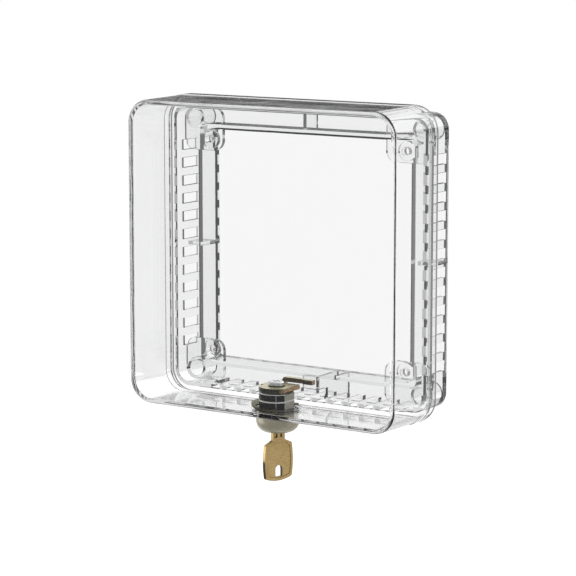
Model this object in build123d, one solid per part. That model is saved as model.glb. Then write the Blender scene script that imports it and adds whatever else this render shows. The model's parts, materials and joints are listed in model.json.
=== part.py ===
from build123d import *

import os
from math import atan, degrees, sqrt

# Clear lock box that stands over a wall thermostat: a deep cover hooked on a vented ring base,
# locked at the bottom by a keyed cam lock.  Sizes are in millimetres.
# The origin is the middle of the back, on the wall.  +Z is up and the front faces -Y.

# ---- Box, seen from the front ----
WIDTH = 168.0            # cover, at its front face
HEIGHT = 165.0
DEPTH = 61.0             # wall to front face
CORNER_R = 13.0          # outer corner of the cover's front face

# ---- Cover ----
COVER_DEPTH = 41.5       # front face to rear edge
FRONT_WALL = 3.0
COVER_WALL = 2.5
DRAFT = 0.7              # how far each side leans out from front to rear
FRONT_EDGE_R = 2.0
INSIDE_EDGE_R = 0.4
BELT_LENGTH = 7.5        # the thicker band round the rear edge
BELT_STEP = 0.35
REBATE_LENGTH = 4.8      # the inside step that goes over the ring's lip
REBATE_STEP = 0.8
LIP_GAP = 0.3            # cover to ring, all round

# ---- Ring base ----
RING_WALL = 2.5
BEAD_STEP = 2.7          # how far the lip's bead stands out from the ring's wall
BEAD_LENGTH = 2.0
CHANNEL = 9.1            # open width between the outer and the inner wall
INNER_WALL = 2.6
INNER_WALL_SETBACK = 8.0  # inner wall's front edge, behind the lip's front edge
BACK_FLANGE = 2.4
INNER_CORNER_R = 4.0
MID_RIB = 2.0            # web across the channel at the middle of a side

# ---- Corner tabs with their screw bosses ----
SCREW_IN = 22.3          # screw hole, from the cover's side
SCREW_DOWN = 24.0        # screw hole, from the cover's top or bottom
SCREW_HOLE_R = 2.3
SCREW_BOSS_R = 5.2
SCREW_BOSS = 5.0         # length, from the tab's front
TAB_WIDTH = 31.8         # tab's free edges, from the cover's side and top
TAB_HEIGHT = 30.0
TAB_THICKNESS = 2.4
TAB_R = 6.0
CORNER_POST_R = 6.0      # round post in each corner of the channel
CORNER_POST_WALL = 1.6

# ---- Vents ----
VENT_PITCH = 9.95
VENT_HEIGHT = 5.6
VENT_LENGTH = 15.0       # along the depth
VENT_BACK = 2.5          # from the wall to the vents' rear end
SIDE_VENT_MARGIN = 24.8  # from the cover's top and bottom to the first vent
BOTTOM_VENT_MARGIN = 26.0

# ---- Top hook of the cover ----
HOOK_WIDTH = 24.0
HOOK_THICKNESS = 2.0
HOOK_REACH = 2.0         # how far it hangs below the rebate
HOOK_GAP = 0.4           # behind the bead

# ---- Lock, in the cover's bottom wall ----
LOCK_BACK = 20.2         # axis, behind the front face
BARREL_R = 9.5
FLAT_HALF = 8.3          # centre to each flat
BARREL_TOP = 11.3        # heights in the lock are from the cover's bottom edge
BARREL_CHAMFER = 0.4
TURNED_LINE_TOP = 7.5    # V groove turned into the barrel
TURNED_LINE = 0.7
TURNED_LINE_DEPTH = 0.4
HOLE_GAP = 0.2
PAD_R = 13.5             # flat pad moulded round the lock hole
PAD_BELOW = 0.75
PAD_ABOVE = 2.8
HEAD_R = 11.7
HEAD_FACE = -10.0
HEAD_SIDE = 3.4          # straight part of the head's side
CAP_WALL = 0.6
CAP_MOUTH_R = 7.3

# ---- Plug ----
PLUG_R = 6.0
PLUG_HEAD_R = 7.0
PLUG_HEAD_LENGTH = 1.8
RUNNING_FIT = 0.04       # radial
KEY_AZIMUTH = 73.0       # degrees from +X to the key's broad direction, as locked
DRIVE_SQUARE = 7.0
DRIVE_GAP = 0.08
SCREW_BORE_DEPTH = 5.0

# ---- Wafers and springs ----
WAFER_COUNT = 5
WAFER_PITCH = 2.3
FIRST_WAFER = 5.0        # from the plug's face
WAFER_THICKNESS = 0.9
WAFER_HALF_WIDTH = 2.6
WAFER_TRAVEL = 0.7
WAFER_GAP = 0.06
TIP_RELIEF = 0.08        # wafer ends inside the plug's surface
GROOVE_DEPTH = 1.2       # in the housing, outside the bore
LUG_LENGTH = 1.3         # spring lug on each wafer's side
LUG_WIDTH = 1.0
LUG_PLACE = -1.2
SPRING_R = 0.34
SPRING_WIRE_R = 0.14
SPRING_POCKET_R = 0.58
SPRING_LENGTH = 3.2
SPRING_TURNS = 5

# ---- Key ----
BLADE_WIDTH = 8.0
KEY_THICKNESS = 2.0
BLADE_LENGTH = 17.9      # inside the plug
NECK_LENGTH = 5.1        # plug face to bow
KEY_GAP = 0.1
FIRST_CUT = 0.35
CUT_STEP = 0.35          # each cut is deeper than the one before, toward the tip
TIP_BEVEL = 2.2
WIDE_GROOVE = 2.0
WIDE_GROOVE_PLACE = -2.1
NARROW_GROOVE = 0.9
NARROW_GROOVE_PLACE = 1.4
GROOVE_CUT = 0.6
GROOVE_END = 1.5         # above the bow's shoulder
BOW_WIDTH = 19.2
BOW_HEIGHT = 22.2
BOW_SHOULDER = 2.2
BOW_BULGE = 0.8
BOW_R = 1.2
BORDER = 1.5
BORDER_DEPTH = 0.2
ARCH_WIDTH = 4.6
ARCH_HEIGHT = 6.2
ARCH_UP = 2.2            # arch's foot, above the bow's lower end

# ---- Cam and what holds it ----
STOP_WASHER = 0.6
STACK_GAP = 0.1
STOP_WASHER_R = 9.2
CAM_PLATE = 2.4
CAM_HUB_R = 9.5
CAM_RIGHT = 8.2
CAM_LEFT = 10.0
CAM_BODY_BACK = 10.0
SLIT = 0.4
FINGER_WIDTH = 3.2
FINGER_TIP = 16.3
FINGER_START = -3.5      # where the finger leaves the plate and bends up
FINGER_LIFT = 0.5        # finger's underside, above the plate
LOCK_WASHER = 0.7
LOCK_WASHER_R = 4.4
SCREW_R = 2.0
SCREW_HEAD_R = 4.25
SCREW_HEAD = 2.0
SCREW_LENGTH = 5.0       # under the head
SCREW_SLOT = 0.9
SCREW_CROSS = 4.6

# ---- Horseshoe clip ----
CLIP_THICKNESS = 0.9
CLIP_HALF_WIDTH = 12.0
CLIP_BOW = 5.2           # width of the closed end
CLIP_LEG_END = 6.2
CLIP_GAP = 0.15
CLIP_ARC_R = 70.0        # the strip's spring curve
CLIP_LOW_POINT = 1.5
CLIP_GROOVE = 1.4        # height of the groove, over the pad
CLIP_LIFT = 0.05

# ---- Keeper on the ring ----
KEEPER_WALL = 2.4
KEEPER_GAP = 0.4         # in front of the finger
KEEPER_SIDE_GAP = 3.0    # beside the finger's tip
KEEPER_REACH = 10.0      # width of the front leg
KEEPER_BELOW = 1.6       # under and over the finger
KEEPER_ABOVE = 3.0

# ---- Places that follow from the sizes ----
y_front = -DEPTH
y_cover_back = y_front + COVER_DEPTH
y_rebate = y_cover_back - REBATE_LENGTH
y_lip = y_rebate + LIP_GAP
y_bead_back = y_lip + BEAD_LENGTH
y_inner_front = y_lip + INNER_WALL_SETBACK
y_hook_front = y_bead_back + HOOK_GAP
y_lock = y_front + LOCK_BACK
z_top = HEIGHT / 2
z_sill = -HEIGHT / 2

draft_angle = degrees(atan(DRAFT / COVER_DEPTH))
rebate_draft = DRAFT * (COVER_DEPTH - REBATE_LENGTH) / COVER_DEPTH
rebate_in = COVER_WALL - rebate_draft - REBATE_STEP    # from the front outline
bead_in = rebate_in + LIP_GAP
ring_in = bead_in + BEAD_STEP
channel_in = ring_in + RING_WALL
inner_wall_in = channel_in + CHANNEL
opening_in = inner_wall_in + INNER_WALL
hook_in = rebate_in + HOOK_REACH

z_pad_out = z_sill - PAD_BELOW
z_pad_in = z_sill + PAD_ABOVE
z_face = z_sill + HEAD_FACE
z_barrel_top = z_sill + BARREL_TOP
z_stop = z_barrel_top + STACK_GAP
z_cam = z_stop + STOP_WASHER
z_cam_top = z_cam + CAM_PLATE
z_finger = z_cam_top + FINGER_LIFT
z_screw_seat = z_cam_top + LOCK_WASHER
z_key_tip = z_face + BLADE_LENGTH
z_bow = z_face - NECK_LENGTH
bore_r = PLUG_R + RUNNING_FIT
finger_front = CAM_BODY_BACK + SLIT
finger_back = finger_front + FINGER_WIDTH
wafer_heights = [z_face + FIRST_WAFER + i * WAFER_PITCH for i in range(WAFER_COUNT)]
cut_depths = [FIRST_CUT + i * CUT_STEP for i in range(WAFER_COUNT)]
SIDES = (-1, 1)
PAST = 1.0               # how far a cutting tool runs past what it cuts


def block(x, y, z):
    """Box between two limits on each axis."""
    size = [high - low for low, high in (x, y, z)]
    middle = [(high + low) / 2 for low, high in (x, y, z)]
    return Pos(*middle) * Box(*size)


def slab(inset, radius, y_back, y_face):
    """Rounded block, inset from the cover's front outline, between two depths."""
    outline = Plane.XZ.offset(-y_back) * RectangleRounded(WIDTH - 2 * inset, HEIGHT - 2 * inset, radius)
    return extrude(outline, y_back - y_face)


def drafted_slab(inset, y_face):
    """Rounded block that leans with the cover's sides, from the cover's rear edge forward."""
    grow = DRAFT - inset
    outline = RectangleRounded(WIDTH + 2 * grow, HEIGHT + 2 * grow, CORNER_R + grow)
    return extrude(Plane.XZ.offset(-y_cover_back) * outline, y_cover_back - y_face, taper=draft_angle)


def column(section, z_low, z_high):
    """Section on the lock's axis, between two heights."""
    return Pos(0, y_lock, z_low) * extrude(section, z_high - z_low)


def turned(shape):
    """Turns a piece from the key's own directions (X broad, Y thick) into its place in the lock."""
    return Pos(0, y_lock, 0) * Rot(0, 0, KEY_AZIMUTH) * shape


def at_corners(x_in, z_in):
    """The four places that lie this far in from the sides and from the top and bottom."""
    return [(sx * (WIDTH / 2 - x_in), sz * (HEIGHT / 2 - z_in)) for sx in SIDES for sz in SIDES]


def depth_rod(radius, x, z, y_back, y_face):
    """Round rod along the depth."""
    return extrude(Plane.XZ.offset(-y_back) * Pos(x, z) * Circle(radius), y_back - y_face)


def vent_places(run):
    """Middles of the vents that fit along a run, even about its middle."""
    count = int((run + VENT_PITCH - VENT_HEIGHT) // VENT_PITCH)
    return [(i - (count - 1) / 2) * VENT_PITCH for i in range(count)]


# ---- Cover ----
def barrel_section(grow):
    """Round barrel with a flat on each side."""
    return Circle(BARREL_R + grow) & Rectangle(2 * (FLAT_HALF + grow), 2 * (BARREL_R + grow))


def make_cover():
    shell = drafted_slab(0, y_front)
    shell = fillet(shell.edges().group_by(Axis.Y)[0], FRONT_EDGE_R)
    belt_out = rebate_draft + BELT_STEP
    shell += slab(-belt_out, CORNER_R + belt_out, y_cover_back, y_cover_back - BELT_LENGTH)
    hollow = drafted_slab(COVER_WALL, y_front + FRONT_WALL)
    hollow = fillet(hollow.edges().group_by(Axis.Y)[0], INSIDE_EDGE_R)
    shell -= hollow
    shell -= slab(rebate_in, CORNER_R - rebate_in, y_cover_back, y_rebate)
    shell += block((-HOOK_WIDTH / 2, HOOK_WIDTH / 2),
                   (y_hook_front, min(y_hook_front + HOOK_THICKNESS, y_cover_back)),
                   (z_top - hook_in, z_top - rebate_in + PAST))
    shell += column(Circle(PAD_R), z_pad_out, z_pad_in)
    return shell - column(barrel_section(HOLE_GAP), z_pad_out - PAST, z_pad_in + PAST)


# ---- Ring base ----
def make_corner_tab(x, z):
    """Tab across a corner of the opening, with the boss for its screw."""
    side, level = (1 if x > 0 else -1), (1 if z > 0 else -1)
    wide, tall = TAB_WIDTH - channel_in, TAB_HEIGHT - channel_in
    centre = (side * (WIDTH / 2 - channel_in - wide / 2), level * (HEIGHT / 2 - channel_in - tall / 2))
    outline = Pos(*centre) * RectangleRounded(wide, tall, TAB_R)
    plate = extrude(Plane.XZ.offset(-(y_inner_front + TAB_THICKNESS)) * outline, TAB_THICKNESS)
    return plate + depth_rod(SCREW_BOSS_R, x, z, y_inner_front + SCREW_BOSS, y_inner_front)


def make_vents():
    """Slots through the ring's left, right and bottom walls."""
    y_span = (-VENT_BACK - VENT_LENGTH, -VENT_BACK)
    half = VENT_HEIGHT / 2
    wall = (WIDTH / 2 - channel_in - PAST, WIDTH / 2 - ring_in + PAST)
    vents = [block([side * edge for edge in wall][::side], y_span, (z - half, z + half))
             for side in SIDES for z in vent_places(HEIGHT - 2 * SIDE_VENT_MARGIN)]
    floor = (z_sill + ring_in - PAST, z_sill + channel_in + PAST)
    vents += [block((x - half, x + half), y_span, floor) for x in vent_places(WIDTH - 2 * BOTTOM_VENT_MARGIN)]
    return vents


def make_keeper():
    """Hooked arm of the ring that stands in front of the cam's finger."""
    leg_right = FINGER_TIP + KEEPER_SIDE_GAP + KEEPER_WALL
    leg_back = y_lock + finger_front - KEEPER_GAP
    low, high = z_finger - KEEPER_BELOW, z_finger + CAM_PLATE + KEEPER_ABOVE
    y_root = y_inner_front + INNER_WALL
    front = block((leg_right - KEEPER_REACH, leg_right), (leg_back - KEEPER_WALL, leg_back), (low, high))
    side = block((leg_right - KEEPER_WALL, leg_right), (leg_back - KEEPER_WALL, y_root), (low, high))
    gusset = block((leg_right - KEEPER_WALL, leg_right), (y_lip, -BACK_FLANGE / 2),
                   (z_sill + channel_in - RING_WALL / 2, (low + high) / 2))
    return front + side + gusset


def make_ring():
    ring = slab(ring_in, CORNER_R - ring_in, 0, y_lip)
    ring += slab(bead_in, CORNER_R - bead_in, y_bead_back, y_lip)
    ring -= slab(channel_in, CORNER_R - channel_in, -BACK_FLANGE, y_lip - PAST)
    ring += slab(inner_wall_in, INNER_CORNER_R, 0, y_inner_front)
    ring -= slab(opening_in, INNER_CORNER_R, PAST, y_inner_front - PAST)
    rib_front = y_inner_front + TAB_THICKNESS
    reach = (channel_in - RING_WALL / 2, inner_wall_in + INNER_WALL / 2)
    half = MID_RIB / 2
    depth = (rib_front, -BACK_FLANGE / 2)
    for side in SIDES:
        ring += block([side * (WIDTH / 2 - s) for s in reach[::-side]], depth, (-half, half))
    ring += block((-half, half), depth, (z_top - reach[1], z_top - reach[0]))
    post_in = channel_in + CORNER_POST_R
    for x, z in at_corners(post_in, post_in):
        ring += depth_rod(CORNER_POST_R, x, z, -BACK_FLANGE / 2, y_inner_front)
        ring -= depth_rod(CORNER_POST_R - CORNER_POST_WALL, x, z, -BACK_FLANGE, y_inner_front - PAST)
    ring += [make_corner_tab(x, z) for x, z in at_corners(SCREW_IN, SCREW_DOWN)]
    ring += make_keeper()
    ring -= make_vents()
    return ring - [depth_rod(SCREW_HOLE_R, x, z, PAST, y_inner_front - PAST)
                   for x, z in at_corners(SCREW_IN, SCREW_DOWN)]


# ---- Lock body ----
def head_solid(inset):
    """Bowl-shaped head, from the pad down to the face, drawn in by an inset."""
    radius, depth = HEAD_R - inset, z_pad_out - z_face - inset
    side = min(HEAD_SIDE, depth / 2)
    rim = CAP_MOUTH_R + (radius - CAP_MOUTH_R) / 8
    bulge = (rim + (radius - rim) * 0.72, -side - (depth - side) * 0.62)
    wall = Polyline((0, -depth), (0, 0), (radius, 0), (radius, -side))
    curve = ThreePointArc((radius, -side), bulge, (rim, -depth))
    profile = make_face(wall + curve + Line((rim, -depth), (0, -depth)))
    return Pos(0, y_lock, z_pad_out) * revolve(Plane.XZ * profile, Axis.Z)


def wafer_groove(turn):
    """Groove that takes the wafers' ends when the key is out, along the bore."""
    low, high = wafer_heights[0] - WAFER_THICKNESS, wafer_heights[-1] + WAFER_THICKNESS
    half = WAFER_HALF_WIDTH + WAFER_GAP * 4
    groove = block((-bore_r - GROOVE_DEPTH, 0), (-half, half), (low, high))
    return Pos(0, y_lock, 0) * Rot(0, 0, KEY_AZIMUTH + turn) * groove


def turned_line():
    """V groove round the barrel."""
    top = z_sill + TURNED_LINE_TOP
    outer = BARREL_R + TURNED_LINE_DEPTH
    corners = [(BARREL_R - TURNED_LINE_DEPTH, top), (outer, top), (outer, top - 2 * TURNED_LINE)]
    return Pos(0, y_lock, 0) * revolve(Plane.XZ * make_face(Polyline(corners, close=True)), Axis.Z)


def make_housing():
    barrel = column(barrel_section(0), z_pad_out, z_barrel_top)
    body = chamfer(barrel.edges().group_by(Axis.Z)[-1], BARREL_CHAMFER) - turned_line() + head_solid(CAP_WALL)
    reach = BARREL_R + PAST
    for side in SIDES:
        seat = [y_lock + side * edge for edge in (FLAT_HALF, reach)][::side]
        body -= block((-reach, reach), seat, (z_pad_in, z_pad_in + CLIP_GROOVE))
    body -= column(Circle(bore_r), z_face, z_barrel_top + PAST)
    body -= column(Circle(PLUG_HEAD_R + RUNNING_FIT), z_face - PAST, z_face + PLUG_HEAD_LENGTH + STACK_GAP)
    return body - [wafer_groove(turn) for turn in (0, 90)]


def make_bezel_cap():
    cap = head_solid(0) - head_solid(CAP_WALL)
    return cap - column(Circle(CAP_MOUTH_R), z_face - PAST, z_face + CAP_WALL + PAST)


# ---- Plug, wafers and springs ----
def blade_section(grow):
    """Key blade across its length, with its two milled grooves."""
    section = Rectangle(BLADE_WIDTH + 2 * grow, KEY_THICKNESS + 2 * grow)
    for width, place in ((WIDE_GROOVE, WIDE_GROOVE_PLACE), (NARROW_GROOVE, NARROW_GROOVE_PLACE)):
        floor = -KEY_THICKNESS / 2 + GROOVE_CUT - grow
        depth = GROOVE_CUT + PAST
        section -= Pos(place, floor - depth / 2) * Rectangle(width - 2 * grow, depth)
    return section


def make_plug():
    top = z_cam_top - STACK_GAP
    plug = Pos(0, 0, z_face) * extrude(Circle(PLUG_HEAD_R), PLUG_HEAD_LENGTH)
    plug += Pos(0, 0, z_face) * extrude(Circle(PLUG_R), z_barrel_top - z_face)
    plug -= Pos(0, 0, z_face - PAST) * extrude(blade_section(KEY_GAP), BLADE_LENGTH + KEY_GAP + PAST)
    half = WAFER_HALF_WIDTH + WAFER_GAP
    for z in wafer_heights:
        floor = (z - WAFER_THICKNESS / 2 - WAFER_GAP, z + WAFER_THICKNESS / 2 + WAFER_GAP)
        plug -= block((-PLUG_R - PAST, PLUG_R + PAST), (-half, half), floor)
        lug_end = LUG_PLACE + LUG_WIDTH / 2 + WAFER_GAP
        plug -= block((lug_end - LUG_WIDTH - WAFER_TRAVEL - 3 * WAFER_GAP, lug_end),
                      (0, half + LUG_LENGTH + WAFER_GAP), floor)
        pocket = Plane.YZ.offset(lug_end) * Pos(WAFER_HALF_WIDTH + LUG_LENGTH / 2, z)
        plug -= extrude(pocket * Circle(SPRING_POCKET_R), SPRING_LENGTH + WAFER_GAP)
    plug = turned(plug) + column(Rectangle(DRIVE_SQUARE, DRIVE_SQUARE), z_barrel_top, top)
    return plug - column(Circle(SCREW_R), z_cam_top - SCREW_BORE_DEPTH, top + PAST)


def make_wafer(z, cut):
    """Plate with a window for the key, its spring lug on one side."""
    window_top = BLADE_WIDTH / 2 - cut + WAFER_GAP
    window_low = -BLADE_WIDTH / 2 - WAFER_TRAVEL - 2 * WAFER_GAP
    half_window = KEY_THICKNESS / 2 + 2 * KEY_GAP
    plate = Circle(PLUG_R - TIP_RELIEF) & Rectangle(2 * PLUG_R, 2 * WAFER_HALF_WIDTH)
    plate -= Pos((window_top + window_low) / 2, 0) * Rectangle(window_top - window_low, 2 * half_window)
    plate += Pos(LUG_PLACE, WAFER_HALF_WIDTH + LUG_LENGTH / 2) * Rectangle(LUG_WIDTH, LUG_LENGTH)
    return turned(Pos(0, 0, z - WAFER_THICKNESS / 2) * extrude(plate, WAFER_THICKNESS))


def make_spring(z):
    """Coil that pushes a wafer's lug, lying along the wafer's slide."""
    length = SPRING_LENGTH - 2 * SPRING_WIRE_R
    coil = Helix(length / SPRING_TURNS, length, SPRING_R)
    wire = sweep(Plane(coil @ 0, z_dir=coil % 0) * Circle(SPRING_WIRE_R), coil, is_frenet=True)
    start = LUG_PLACE + LUG_WIDTH / 2 + WAFER_GAP + SPRING_WIRE_R
    return turned(Pos(start, WAFER_HALF_WIDTH + LUG_LENGTH / 2, z) * Rot(0, 90, 0) * wire)


# ---- Key ----
def blade_outline():
    """Side view of the blade: a straight back and cuts that step down toward the tip."""
    half = BLADE_WIDTH / 2
    flat = WAFER_THICKNESS / 2 + WAFER_GAP
    points = [(-half, z_bow - BOW_SHOULDER), (half, z_bow - BOW_SHOULDER)]
    points.append((half, wafer_heights[0] - flat - FIRST_CUT))
    for z, cut in zip(wafer_heights, cut_depths):
        points += [(half - cut, z - flat), (half - cut, z + flat)]
    tip_half = half - cut_depths[-1] - TIP_BEVEL / 2
    points += [(half - cut_depths[-1], z_key_tip - TIP_BEVEL), (tip_half, z_key_tip)]
    points += [(-half + TIP_BEVEL / 2, z_key_tip), (-half, z_key_tip - TIP_BEVEL)]
    return make_face(Polyline(points, close=True))


def bow_outline(inset):
    """Side view of the bow, drawn in by an inset."""
    half, middle = BOW_WIDTH / 2 - BOW_BULGE - inset, BOW_WIDTH / 2 - inset
    top, low = z_bow - BOW_SHOULDER - inset, z_bow - BOW_HEIGHT + BOW_BULGE * 2 + inset
    neck = BLADE_WIDTH / 2
    right = ThreePointArc((half, top), (middle, (top + low) / 2), (half, low))
    left = ThreePointArc((-half, low), (-middle, (top + low) / 2), (-half, top))
    foot = ThreePointArc((half, low), (0, low - BOW_BULGE * 2), (-half, low))
    crown = Polyline((-half, top), (-neck, z_bow - inset), (neck, z_bow - inset), (half, top))
    face = make_face(right + foot + left + crown)
    return fillet(face.vertices(), BOW_R)


def plate_from(face, thickness, centre=0.0):
    """Plate with this side view, centred on the key's middle plane or beside it."""
    return extrude(Plane.XZ.offset(-centre) * face, thickness / 2, both=True)


def make_key():
    grooved = Pos(0, 0, z_bow + GROOVE_END) * extrude(blade_section(0), z_key_tip - z_bow)
    plain = Pos(0, 0, z_bow - BOW_SHOULDER) * extrude(
        Rectangle(BLADE_WIDTH, KEY_THICKNESS), BOW_SHOULDER + GROOVE_END)
    key = (grooved + plain) & plate_from(blade_outline(), 2 * KEY_THICKNESS)
    key += plate_from(bow_outline(0), KEY_THICKNESS)
    for side in SIDES:
        key -= plate_from(bow_outline(BORDER), 2 * BORDER_DEPTH, side * KEY_THICKNESS / 2)
    foot = z_bow - BOW_HEIGHT + ARCH_UP
    straight = ARCH_HEIGHT - ARCH_WIDTH / 2
    arch = Pos(0, foot + straight / 2) * Rectangle(ARCH_WIDTH, straight)
    arch += Pos(0, foot + straight) * Circle(ARCH_WIDTH / 2)
    return turned(key - plate_from(arch, 2 * KEY_THICKNESS))


# ---- Cam stack ----
def drive_hole():
    return Rectangle(DRIVE_SQUARE + 2 * DRIVE_GAP, DRIVE_SQUARE + 2 * DRIVE_GAP)


def make_stop_washer():
    return column(Circle(STOP_WASHER_R) - drive_hole(), z_stop, z_stop + STOP_WASHER)


def make_cam():
    """Stamped plate with a finger that bends up and reaches past the keeper."""
    plate = Circle(CAM_HUB_R) & Rectangle(2 * CAM_RIGHT, 2 * CAM_HUB_R)
    body = Rectangle(CAM_RIGHT + CAM_LEFT, CAM_BODY_BACK)
    plate += Pos((CAM_RIGHT - CAM_LEFT) / 2, CAM_BODY_BACK / 2) * body
    root_end = FINGER_START - CAM_PLATE / 2
    root = Rectangle(CAM_LEFT + root_end, finger_back - CAM_BODY_BACK / 2)
    plate += Pos((root_end - CAM_LEFT) / 2, (finger_back + CAM_BODY_BACK / 2) / 2) * root
    cam = column(plate - drive_hole(), z_cam, z_cam_top)
    rise = FINGER_START + CAM_PLATE
    side_view = make_face(Polyline(
        (root_end - CAM_PLATE / 4, z_cam), (FINGER_START, z_cam), (rise, z_finger), (FINGER_TIP, z_finger),
        (FINGER_TIP, z_finger + CAM_PLATE), (rise - CAM_PLATE / 2, z_finger + CAM_PLATE),
        (FINGER_START - CAM_PLATE / 2, z_cam_top), (root_end - CAM_PLATE / 4, z_cam_top), close=True))
    strip = extrude(Plane.XZ.offset(-(y_lock + finger_back)) * side_view, FINGER_WIDTH)
    return cam + strip


def make_lock_washer():
    ring = Circle(LOCK_WASHER_R) - Circle(SCREW_R + DRIVE_GAP)
    split = Pos(LOCK_WASHER_R / 2 + SCREW_R / 2, 0) * Rectangle(LOCK_WASHER_R, LOCK_WASHER / 2)
    return column(ring - split, z_cam_top, z_screw_seat)


def make_cam_screw():
    shank = column(Circle(SCREW_R - RUNNING_FIT), z_screw_seat - SCREW_LENGTH, z_screw_seat)
    head = column(Circle(SCREW_HEAD_R), z_screw_seat, z_screw_seat + SCREW_HEAD)
    head = fillet(head.edges().group_by(Axis.Z)[-1], SCREW_HEAD / 2)
    cross = Rectangle(SCREW_CROSS, SCREW_SLOT) + Rectangle(SCREW_SLOT, SCREW_CROSS)
    return shank + head - column(cross, z_screw_seat + SCREW_HEAD / 2, z_screw_seat + SCREW_HEAD + PAST)


def make_clip():
    """Horseshoe clip: a curved strip pushed on the barrel from the left."""
    left = -(FLAT_HALF + CLIP_GAP * 2 + CLIP_BOW)
    bow_centre = left + CLIP_HALF_WIDTH
    outline = Pos(bow_centre, 0) * Circle(CLIP_HALF_WIDTH)
    legs = CLIP_LEG_END - bow_centre
    outline += Pos(bow_centre + legs / 2, 0) * Rectangle(legs, 2 * CLIP_HALF_WIDTH)
    outline &= Pos((left + CLIP_LEG_END) / 2, 0) * Rectangle(CLIP_LEG_END - left, 2 * CLIP_HALF_WIDTH)
    throat = left + CLIP_BOW
    outline -= Pos(throat + CLIP_HALF_WIDTH, 0) * Rectangle(2 * CLIP_HALF_WIDTH, 2 * (FLAT_HALF + CLIP_GAP))
    blank = column(outline, z_pad_in, z_barrel_top)
    axis_z = z_pad_in + CLIP_LIFT + CLIP_ARC_R
    strip = Circle(CLIP_ARC_R) - Circle(CLIP_ARC_R - CLIP_THICKNESS)
    plane = Plane.XZ.offset(-(y_lock + CLIP_HALF_WIDTH + PAST))
    return blank & extrude(plane * Pos(CLIP_LOW_POINT, axis_z) * strip, 2 * (CLIP_HALF_WIDTH + PAST))


parts = {
    "cover": make_cover(),
    "base_ring": make_ring(),
    "lock_housing": make_housing(),
    "bezel_cap": make_bezel_cap(),
    "retaining_clip": make_clip(),
    "lock_plug": make_plug(),
    "stop_washer": make_stop_washer(),
    "cam": make_cam(),
    "lock_washer": make_lock_washer(),
    "cam_screw": make_cam_screw(),
    "key": make_key(),
}
for number, (height, depth) in enumerate(zip(wafer_heights, cut_depths), start=1):
    parts[f"wafer_{number}"] = make_wafer(height, depth)
    parts[f"wafer_spring_{number}"] = make_spring(height)

os.makedirs("parts", exist_ok=True)
for name, shape in parts.items():
    export_step(shape, f"parts/{name}.step")
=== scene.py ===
import json
from math import cos, radians, sin

import bpy
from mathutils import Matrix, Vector


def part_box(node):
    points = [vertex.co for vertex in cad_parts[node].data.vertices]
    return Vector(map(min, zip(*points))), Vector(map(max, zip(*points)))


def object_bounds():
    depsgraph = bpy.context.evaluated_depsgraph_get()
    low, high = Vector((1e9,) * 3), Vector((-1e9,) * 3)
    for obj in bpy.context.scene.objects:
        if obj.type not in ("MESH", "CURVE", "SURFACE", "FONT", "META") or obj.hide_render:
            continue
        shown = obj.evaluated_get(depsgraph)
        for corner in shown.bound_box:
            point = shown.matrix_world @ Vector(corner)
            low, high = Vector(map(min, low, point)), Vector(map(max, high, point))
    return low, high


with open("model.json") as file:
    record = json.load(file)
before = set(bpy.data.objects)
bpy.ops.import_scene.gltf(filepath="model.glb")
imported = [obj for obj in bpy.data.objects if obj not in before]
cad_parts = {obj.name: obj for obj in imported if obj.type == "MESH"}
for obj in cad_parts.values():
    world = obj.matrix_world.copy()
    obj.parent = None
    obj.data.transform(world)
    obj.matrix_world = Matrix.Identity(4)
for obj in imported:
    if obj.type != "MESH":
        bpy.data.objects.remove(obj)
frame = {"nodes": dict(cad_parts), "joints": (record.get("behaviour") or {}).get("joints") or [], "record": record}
cad_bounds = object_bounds()
scene = bpy.context.scene
scene.view_settings.view_transform = "Standard"
# Light runs a long way inside clear walls before it leaves them.
scene.cycles.max_bounces = 40
scene.cycles.transmission_bounces = 40
scene.cycles.glossy_bounces = 24

# ---- Places on the lock, in metres, worked out from the frame ----
joints = {joint["name"]: joint for joint in frame["joints"]}
LOCK_Y = joints["lock_turn"]["pos_m"][1]
KEY_EDGE = joints["wafer_1_slide"]["axis"]   # the way the key's left edge faces
BARREL_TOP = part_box("lock_housing")[1][2]
TOP_HIGHLIGHT_Z = BARREL_TOP - 0.0004              # the painted highlight on the barrel's top edge starts here
HIGHLIGHT_LINE_Z = (BARREL_TOP - 0.00455, BARREL_TOP - 0.00375)    # its turned line, painted bright as a highlight
FLAT_X = 0.00825                             # its flats lie beyond this, on both sides
SEAM_TURN = radians(-58)                     # from +X round to its cast seam
SEAM_HALF = 0.00016
FINGER_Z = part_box("cam")[0][2] + 0.0026      # the cam's finger is above this, its plate below
KEY_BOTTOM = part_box("key")[0][2]
KEY_SHADE_Z = (KEY_BOTTOM + 0.0103, KEY_BOTTOM + 0.0128)  # the key's left edge has painted shade below this
GROOVE_SHADE = 0.0012                        # how far the painted shade in the key's grooves reaches
RIM_WIDTH = 0.0006                           # of the painted shade along the key's edges

# ---- Patterns, in features per metre ----
DRIFT, CAM_DRIFT = 260.0, 300.0              # slow change of a metal's colour
GRAIN = 1500.0                               # fine change of its gloss
METAL_DETAIL = 4.0
FLOW, HAZE = 14.0, 90.0                      # waves and clouds in the clear plastic

# ---- Clear plastic ----
PLASTIC_IOR = 1.5
PLASTIC_DENSITY = 30.0
SHADOW_COLOUR = (0.9, 0.91, 0.91, 1)         # what the box leaves of a lamp's light

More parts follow.
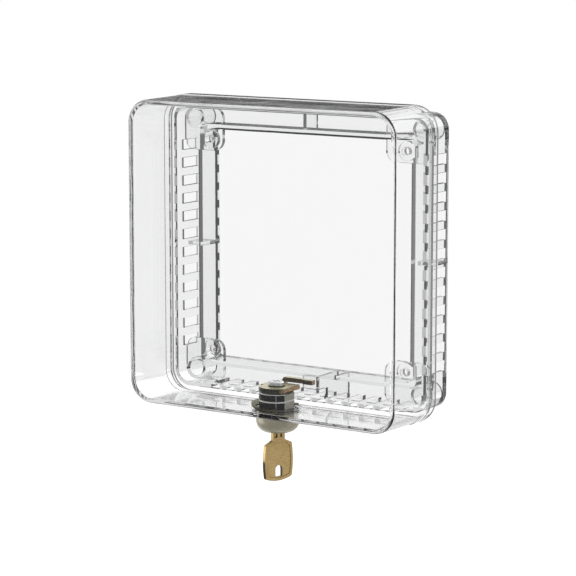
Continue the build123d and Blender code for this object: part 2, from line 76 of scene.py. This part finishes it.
# ---- Camera, floor and lamps, in metres, degrees and watts ----
CAMERA_AT = (0.6976, -1.0751, 0.1808)
CAMERA_YAW, CAMERA_PITCH = 33.75, 8.94
LENS = 149.0
BOX_MIDDLE = (0, -0.03, 0)
FLOOR_DROP = 0.35                            # below the hanging key
FLOOR_HALF = 1.6
FLOOR_COLOUR = (0.85, 0.85, 0.85, 1)
FLOOR_LIFT = 0.6                             # added where the floor is seen and not mirrored
FILL_LEVEL = 0.55                            # of the world, for light that it sheds on matt surfaces
WHITE = (1, 1, 1, 1)
LAMPS = {                                    # place, aim, size, watts
    "lamp_above": ((-0.5, -0.5, 1.5), (0, 0, 0), 1.4, 12.0),
    "lamp_front": ((0.75, -1.1, 1.5), (0, 0, 0), 0.7, 4.0),
    "lamp_left": ((-1.5, -0.65, -0.1), (0, 0, -0.1), 1.1, 6.5),
    "lamp_behind": ((0.7, 1.5, 0.9), (0, 0, 0), 1.2, 4.0),
}

# ---- Studio that is seen only in mirrored rays, as levels from 0, black, to 1, white ----
# Each pair behind the box is its left end and its right end, for rays mirrored once, and then more often.
WALLS_ONCE, WALLS_LATER = (0.90, 0.80), (0.85, 0.70)
FLOOR_ONCE, FLOOR_LATER = (0.90, 0.55), (0.18, 0.05)
FRONT = (0.30, 0.04)             # in front of the box, after one mirroring and after more
ENDS = (-0.25, 0.25)             # left end to right end, and front to back, as parts of a direction
CARD_FOOT = (-0.05, 0.0)         # a dark card stands round the horizon, from here
CARD_HEAD = (0.115, 0.15)        # to here, and both edges are soft
CARD_SIDE = (0.0, 0.2)           # it ends here, so it stands only behind the box
CARD_LEVEL = (0.03, 0.50)        # share of the level that it leaves, after one mirroring and after more
MANY = (0.05, 0.95)              # level after four mirrorings and more, dark to bright
MANY_AT = (-0.556, 0.831)        # its bright part lies this way, in plan
MANY_RANGE = (0.45, 0.9)         # how near to that way it starts, and is full
AT_SURFACE, AT_WORLD = 0, 1      # what the count of mirrorings says there for a ray that never was


class Shader:
    """Node tree of one material, with short ways to add and join nodes."""

    def __init__(self, tree):
        self.tree = tree
        tree.nodes.clear()

    def add(self, kind, inputs=None, **settings):
        node = self.tree.nodes.new("ShaderNode" + kind)
        for name, value in settings.items():
            setattr(node, name, value)
        for name, value in (inputs or {}).items():
            if isinstance(value, bpy.types.NodeSocket):
                self.tree.links.new(value, node.inputs[name])
            else:
                node.inputs[name].default_value = value
        return node

    def math(self, operation, *values):
        return self.add("Math", dict(enumerate(values)), operation=operation).outputs[0]

    def vector(self, operation, *values):
        return self.add("VectorMath", dict(enumerate(values)), operation=operation)

    def place(self):
        """Where a point lies on the piece, along each axis."""
        return self.add("SeparateXYZ", {0: self.add("TexCoord").outputs["Object"]}).outputs

    def noise(self, scale, detail=METAL_DETAIL, stretch=(1, 1, 1)):
        """Noise over the piece's own coordinates, in features per metre."""
        place = self.add("TexCoord").outputs["Object"]
        mapped = self.add("Mapping", {"Vector": place, "Scale": stretch}).outputs[0]
        return self.add("TexNoise", {"Vector": mapped, "Scale": scale, "Detail": detail}).outputs["Fac"]

    def between(self, factor, low, high):
        """Maps a noise to a range of numbers."""
        return self.add("MapRange", {"Value": factor, "From Min": 0.3, "From Max": 0.7,
                                     "To Min": low, "To Max": high}).outputs[0]

    def smooth(self, value, low, high, first=0.0, last=1.0):
        """Runs smoothly from the first number to the last between two limits."""
        limits = {"Value": value, "From Min": low, "From Max": high, "To Min": first, "To Max": last}
        return self.add("MapRange", limits, interpolation_type="SMOOTHSTEP").outputs[0]

    def choose(self, factor, first, second):
        """Number that runs from the first to the second."""
        return self.add("Mix", {"Factor": factor, 2: first, 3: second}, data_type="FLOAT").outputs[0]

    def blend(self, factor, first, second):
        """Colour that runs from the first to the second."""
        mix = self.add("Mix", data_type="RGBA")
        self.tree.links.new(factor, mix.inputs["Factor"])
        for name, value in (("A", first), ("B", second)):
            if isinstance(value, bpy.types.NodeSocket):
                self.tree.links.new(value, mix.inputs[name])
            else:
                mix.inputs[name].default_value = (*value, 1)
        return mix.outputs["Result"]

    def drifting(self, colour, dull, scale=DRIFT):
        """Colour that drifts toward a duller one and back over the piece."""
        return self.blend(self.between(self.noise(scale), 0, 1), colour, dull)

    def grain(self, low, high):
        """Roughness with fine grain."""
        return self.between(self.noise(GRAIN), low, high)

    def less(self, factor, share=1.0):
        """1, less a share of the factor."""
        return self.math("SUBTRACT", 1.0, self.math("MULTIPLY", factor, share))

    def bump(self, height, distance, strength):
        inputs = {"Height": height, "Distance": distance, "Strength": strength}
        return self.add("Bump", inputs).outputs[0]

    def facing(self, direction):
        """How square the surface is to a direction."""
        normal = self.add("TexCoord").outputs["Normal"]
        return self.vector("DOT_PRODUCT", normal, direction).outputs["Value"]

    def edges(self, radius):
        """1 near an edge or a corner, 0 on the flat."""
        rounded = self.add("Bevel", {"Radius": radius}, samples=12).outputs[0]
        flat = self.add("NewGeometry").outputs["Normal"]
        match = self.vector("DOT_PRODUCT", rounded, flat).outputs["Value"]
        return self.smooth(match, 0.75, 0.995, 1.0, 0.0)

    def mirrored(self, least, unmirrored):
        """Whether the ray was mirrored so often at least, where the count for one that never was is told.
        A bounce off metal counts, and a pass through clear plastic doesn't."""
        path = self.add("LightPath").outputs
        count = self.math("SUBTRACT", path["Ray Depth"], path["Transmission Depth"])
        return self.math("GREATER_THAN", count, unmirrored + least - 0.5)

    def studio(self, across, along, once, later, unmirrored):
        """Level that a mirrored ray meets, from its direction and from how often it was mirrored."""
        again, many = (self.mirrored(least, unmirrored) for least in (2, 4))
        behind = [self.smooth(across, *ENDS, *levels) for levels in (once, later)]
        at_back = self.smooth(along, *ENDS)
        level = self.choose(at_back, self.choose(again, *FRONT), self.choose(again, *behind))
        parts = [self.math("MULTIPLY", *pair) for pair in zip((across, along), MANY_AT)]
        bright = self.smooth(self.math("ADD", *parts), *MANY_RANGE, *MANY)
        return self.choose(many, level, bright)

    def finish(self, inputs):
        self.add("OutputMaterial", {"Surface": self.add("BsdfPrincipled", inputs).outputs[0]})


def new_shader(name):
    material = bpy.data.materials.new(name)
    material.use_nodes = True
    return material, Shader(material.node_tree)


# ---- Looks ----
def clear_plastic(name, tint):
    """Clear moulded plastic, faintly uneven, that takes more light the further a ray runs inside it."""
    material, sh = new_shader(name)
    flow = sh.noise(FLOW, 2.0, (1, 1, 3))
    haze = sh.noise(HAZE, 5.0)
    plastic = sh.add("BsdfPrincipled", {
        "Base Color": sh.blend(haze, (1.0, 1.0, 1.0), (0.985, 0.988, 0.988)), "IOR": PLASTIC_IOR,
        "Roughness": sh.between(haze, 0.0, 0.02), "Transmission Weight": 1.0,
        "Normal": sh.bump(flow, 0.0005, 0.3)})
    clear = sh.add("BsdfTransparent", {"Color": SHADOW_COLOUR})
    shadow = sh.add("LightPath").outputs["Is Shadow Ray"]
    mixed = sh.add("MixShader", {0: shadow, 1: plastic.outputs[0], 2: clear.outputs[0]})
    inside = sh.add("VolumeAbsorption", {"Color": (*tint, 1), "Density": PLASTIC_DENSITY})
    sh.add("OutputMaterial", {"Surface": mixed.outputs[0], "Volume": inside.outputs[0]})
    return material


def plated(name, colour, dull, roughness, wear, metallic=1.0, drift=DRIFT):
    """Plated or bare metal whose colour drifts toward a duller one, with fine grain in the gloss."""
    material, sh = new_shader(name)
    sh.finish({"Base Color": sh.drifting(colour, dull, drift), "Metallic": metallic,
               "Roughness": sh.grain(roughness - wear, roughness + wear)})
    return material


def cam_zinc_painted_light(name):
    """Yellow passivated steel with painted light: light olive and less metallic on top so the top reads lit,
    painted shade dark round the cam's front, and a painted orange reflection at its right side.
    """
    material, sh = new_shader(name)
    above = sh.drifting((0.78, 0.72, 0.47), (0.68, 0.63, 0.41), CAM_DRIFT)
    # Painted shade on the cam's front: darkest on the plate below the finger, brown on the finger.
    raised = sh.math("GREATER_THAN", sh.place()[2], FINGER_Z)
    front = sh.blend(raised, (0.055, 0.05, 0.03), (0.16, 0.12, 0.09))
    # Painted reflection: the side that faces +X is orange.
    right = sh.smooth(sh.facing((1, 0, 0)), 0.6, 0.85)
    side = sh.blend(right, front, (0.55, 0.37, 0.20))
    # The top keeps the zinc's colour and is less metallic. This is painted light that makes it read lighter than
    # the other faces.
    lit_top_mask = sh.smooth(sh.facing((0, 0, 1)), 0.3, 0.8)
    sh.finish({"Base Color": sh.blend(lit_top_mask, side, above), "Metallic": sh.less(lit_top_mask, 0.4),
               "Roughness": sh.grain(0.24, 0.34)})
    return material


def coined_brass_painted_shade(name):
    """Brass key with painted shade: dark along its edges, in its grooves and down the lower part of its left edge.
    """
    material, sh = new_shader(name)
    base = sh.drifting((0.69, 0.495, 0.215), (0.58, 0.40, 0.16))
    # Painted shade: occlusion darkens the grooves and hollows nearly to black.
    painted_groove_shade = sh.add("AmbientOcclusion", {"Distance": GROOVE_SHADE}, only_local=True, samples=12)
    base = sh.blend(sh.smooth(painted_groove_shade.outputs["AO"], 0.4, 0.97), (0.035, 0.022, 0.008), base)
    # Painted shade along every edge but the left one, which has its own below.
    left = sh.smooth(sh.facing(KEY_EDGE), 0.6, 0.8)
    painted_edge_shade = sh.math("MULTIPLY", sh.edges(RIM_WIDTH), sh.less(left))
    base = sh.blend(painted_edge_shade, base, (0.16, 0.11, 0.04))
    # Painted shade down the lower part of the left edge.
    low = sh.math("MULTIPLY", sh.smooth(sh.place()[2], *KEY_SHADE_Z, 1.0, 0.0), left)
    base = sh.blend(low, base, (0.06, 0.045, 0.02))
    sh.finish({"Base Color": base, "Metallic": 0.5, "Roughness": sh.grain(0.24, 0.32),
               "Normal": sh.bump(sh.noise(GRAIN), 0.00001, 0.3)})
    return material


def barrel_chrome(name):
    """Black-looking chrome with satin flats and a cast seam, with painted light: painted highlights make its
    turned line and top edge bright and its seam light, and painted shade darkens it below the turned line.
    """
    material, sh = new_shader(name)
    x, y, z = sh.place()
    flat = sh.math("GREATER_THAN", sh.math("ABSOLUTE", x), FLAT_X)
    # Painted highlights: the turned line and the top edge are painted near-white and made less metallic.
    above_foot = sh.math("GREATER_THAN", z, HIGHLIGHT_LINE_Z[0])
    line = sh.math("MULTIPLY", above_foot, sh.math("LESS_THAN", z, HIGHLIGHT_LINE_Z[1]))
    bright = sh.math("MAXIMUM", line, sh.math("GREATER_THAN", z, TOP_HIGHLIGHT_Z))
    # Painted highlight: a light stripe down the cast seam.
    seam_x = sh.math("MULTIPLY", x, sin(SEAM_TURN))
    seam_y = sh.math("MULTIPLY", sh.math("SUBTRACT", y, LOCK_Y), cos(SEAM_TURN))
    from_seam = sh.math("ABSOLUTE", sh.math("SUBTRACT", seam_x, seam_y))
    seam = sh.smooth(from_seam, SEAM_HALF / 2, SEAM_HALF * 2, 1.0, 0.0)
    upper = sh.drifting((0.025, 0.025, 0.023), (0.015, 0.015, 0.015))
    # Painted shade: darker below the turned line.
    base = sh.blend(sh.math("LESS_THAN", z, HIGHLIGHT_LINE_Z[0]), upper, (0.01, 0.01, 0.01))
    base = sh.blend(seam, base, (0.55, 0.55, 0.54))
    base = sh.blend(flat, base, (0.50, 0.48, 0.415))
    base = sh.blend(bright, base, (0.95, 0.95, 0.93))
    dull = sh.math("MAXIMUM", flat, sh.math("MAXIMUM", seam, bright))
    roughness = sh.math("ADD", sh.grain(0.05, 0.09), sh.math("MULTIPLY", dull, 0.28))
    sh.finish({"Base Color": base, "Metallic": sh.less(bright, 0.5), "Roughness": roughness})
    return material


finishes = {
    "clear_cover": clear_plastic("clear_cover", (0.88, 0.885, 0.88)),
    "clear_base": clear_plastic("clear_base", (0.86, 0.87, 0.87)),
    "dark_chrome": barrel_chrome("dark_chrome"),
    "satin_nickel": plated("satin_nickel", (0.48, 0.45, 0.345), (0.41, 0.385, 0.295), 0.30, 0.05, 0.6),
    "yellow_zinc": cam_zinc_painted_light("yellow_zinc"),
    # Bright zinc painted near-black: painted shade on the parts that carry it.
    "bright_zinc": plated("bright_zinc", (0.10, 0.10, 0.095), (0.06, 0.06, 0.06), 0.22, 0.05),
    "bright_chrome": plated("bright_chrome", (0.95, 0.95, 0.96), (0.88, 0.89, 0.90), 0.10, 0.02),
    "key_brass": coined_brass_painted_shade("key_brass"),
    "wafer_brass": plated("wafer_brass", (0.80, 0.63, 0.34), (0.68, 0.52, 0.28), 0.28, 0.06),
    "spring_steel": plated("spring_steel", (0.62, 0.62, 0.62), (0.50, 0.50, 0.51), 0.22, 0.05),
}
# The clip is of the cam's steel, painted darker all over as painted shade.
clip_painted_shade_finish = plated("clip_zinc_painted_shade", (0.20, 0.185, 0.09), (0.07, 0.065, 0.035), 0.29, 0.05, drift=CAM_DRIFT)
own_finishes = {"retaining_clip": clip_painted_shade_finish}
for part in frame["record"]["subparts"]:
    node = part["node"]
    materials = frame["nodes"][node].data.materials
    materials.clear()
    materials.append(own_finishes.get(node, finishes[part["material_slot"]]))


# ---- Studio ----
def make_floor():
    """Pale floor that keeps shadows and reads as white, and where it is mirrored has the studio's level."""
    low = cad_bounds[0][2] - FLOOR_DROP
    bpy.ops.mesh.primitive_plane_add(size=2 * FLOOR_HALF, location=(0, 0, low))
    floor = bpy.context.object
    floor.name = "floor"
    material, sh = new_shader("pale_floor")
    path = sh.add("LightPath").outputs
    through = sh.math("MAXIMUM", path["Is Glossy Ray"], path["Is Transmission Ray"])
    seen = sh.math("MAXIMUM", path["Is Camera Ray"], through)
    glow = sh.add("Emission", {"Color": WHITE, "Strength": sh.math("MULTIPLY", seen, FLOOR_LIFT)})
    matt = sh.add("BsdfDiffuse", {"Color": FLOOR_COLOUR})
    lit = sh.add("AddShader", {0: matt.outputs[0], 1: glow.outputs[0]})
    from_box = sh.vector("SUBTRACT", sh.add("NewGeometry").outputs["Position"], BOX_MIDDLE).outputs["Vector"]
    away = sh.vector("NORMALIZE", from_box).outputs["Vector"]
    across, along, _ = sh.add("SeparateXYZ", {0: away}).outputs
    level = sh.studio(across, along, FLOOR_ONCE, FLOOR_LATER, AT_SURFACE)
    mirrored = sh.math("MULTIPLY", sh.mirrored(1, AT_SURFACE), sh.less(path["Is Diffuse Ray"]))
    plain = sh.add("Emission", {"Color": WHITE, "Strength": level})
    shown = sh.add("MixShader", {0: mirrored, 1: lit.outputs[0], 2: plain.outputs[0]})
    sh.add("OutputMaterial", {"Surface": shown.outputs[0]})
    floor.data.materials.append(material)


def make_world():
    """White for what is seen straight on or through clear plastic, and a plain level for light. What is
    mirrored shows a studio that is bright behind the box but for its card, and dark in front of it."""
    world = bpy.data.worlds.new("studio")
    world.use_nodes = True
    scene.world = world
    sh = Shader(world.node_tree)
    across, along, up = sh.add("SeparateXYZ", {0: sh.add("TexCoord").outputs["Generated"]}).outputs
    walls = sh.studio(across, along, WALLS_ONCE, WALLS_LATER, AT_WORLD)
    below = sh.studio(across, along, FLOOR_ONCE, FLOOR_LATER, AT_WORLD)
    level = sh.choose(sh.smooth(up, *CARD_FOOT), below, walls)
    outside = sh.math("MAXIMUM", sh.smooth(up, *CARD_FOOT, 1.0, 0.0), sh.smooth(up, *CARD_HEAD))
    outside = sh.math("MAXIMUM", outside, sh.smooth(along, *CARD_SIDE, 1.0, 0.0))
    kept = sh.choose(outside, sh.choose(sh.mirrored(2, AT_WORLD), *CARD_LEVEL), 1.0)
    studio = sh.math("MULTIPLY", level, kept)
    seen = sh.choose(sh.mirrored(1, AT_WORLD), 1.0, studio)
    strength = sh.choose(sh.add("LightPath").outputs["Is Diffuse Ray"], seen, FILL_LEVEL)
    back = sh.add("Background", {"Color": WHITE, "Strength": strength})
    sh.add("OutputWorld", {"Surface": back.outputs[0]})


def make_lamp(name, place, aim, size, watts):
    lamp = bpy.data.objects.new(name, bpy.data.lights.new(name, "AREA"))
    lamp.data.size, lamp.data.energy = size, watts
    lamp.location = place
    toward = Vector(aim) - Vector(place)
    lamp.rotation_euler = toward.to_track_quat("-Z", "Y").to_euler()
    lamp.visible_transmission = False
    scene.collection.objects.link(lamp)


def make_camera():
    camera = bpy.data.objects.new("camera", bpy.data.cameras.new("camera"))
    camera.data.lens = LENS
    camera.data.sensor_width = 36.0
    camera.location = CAMERA_AT
    camera.rotation_euler = (radians(90 - CAMERA_PITCH), 0, radians(CAMERA_YAW))
    scene.collection.objects.link(camera)
    scene.camera = camera


make_floor()
make_world()
for name, setting in LAMPS.items():
    make_lamp(name, *setting)
make_camera()
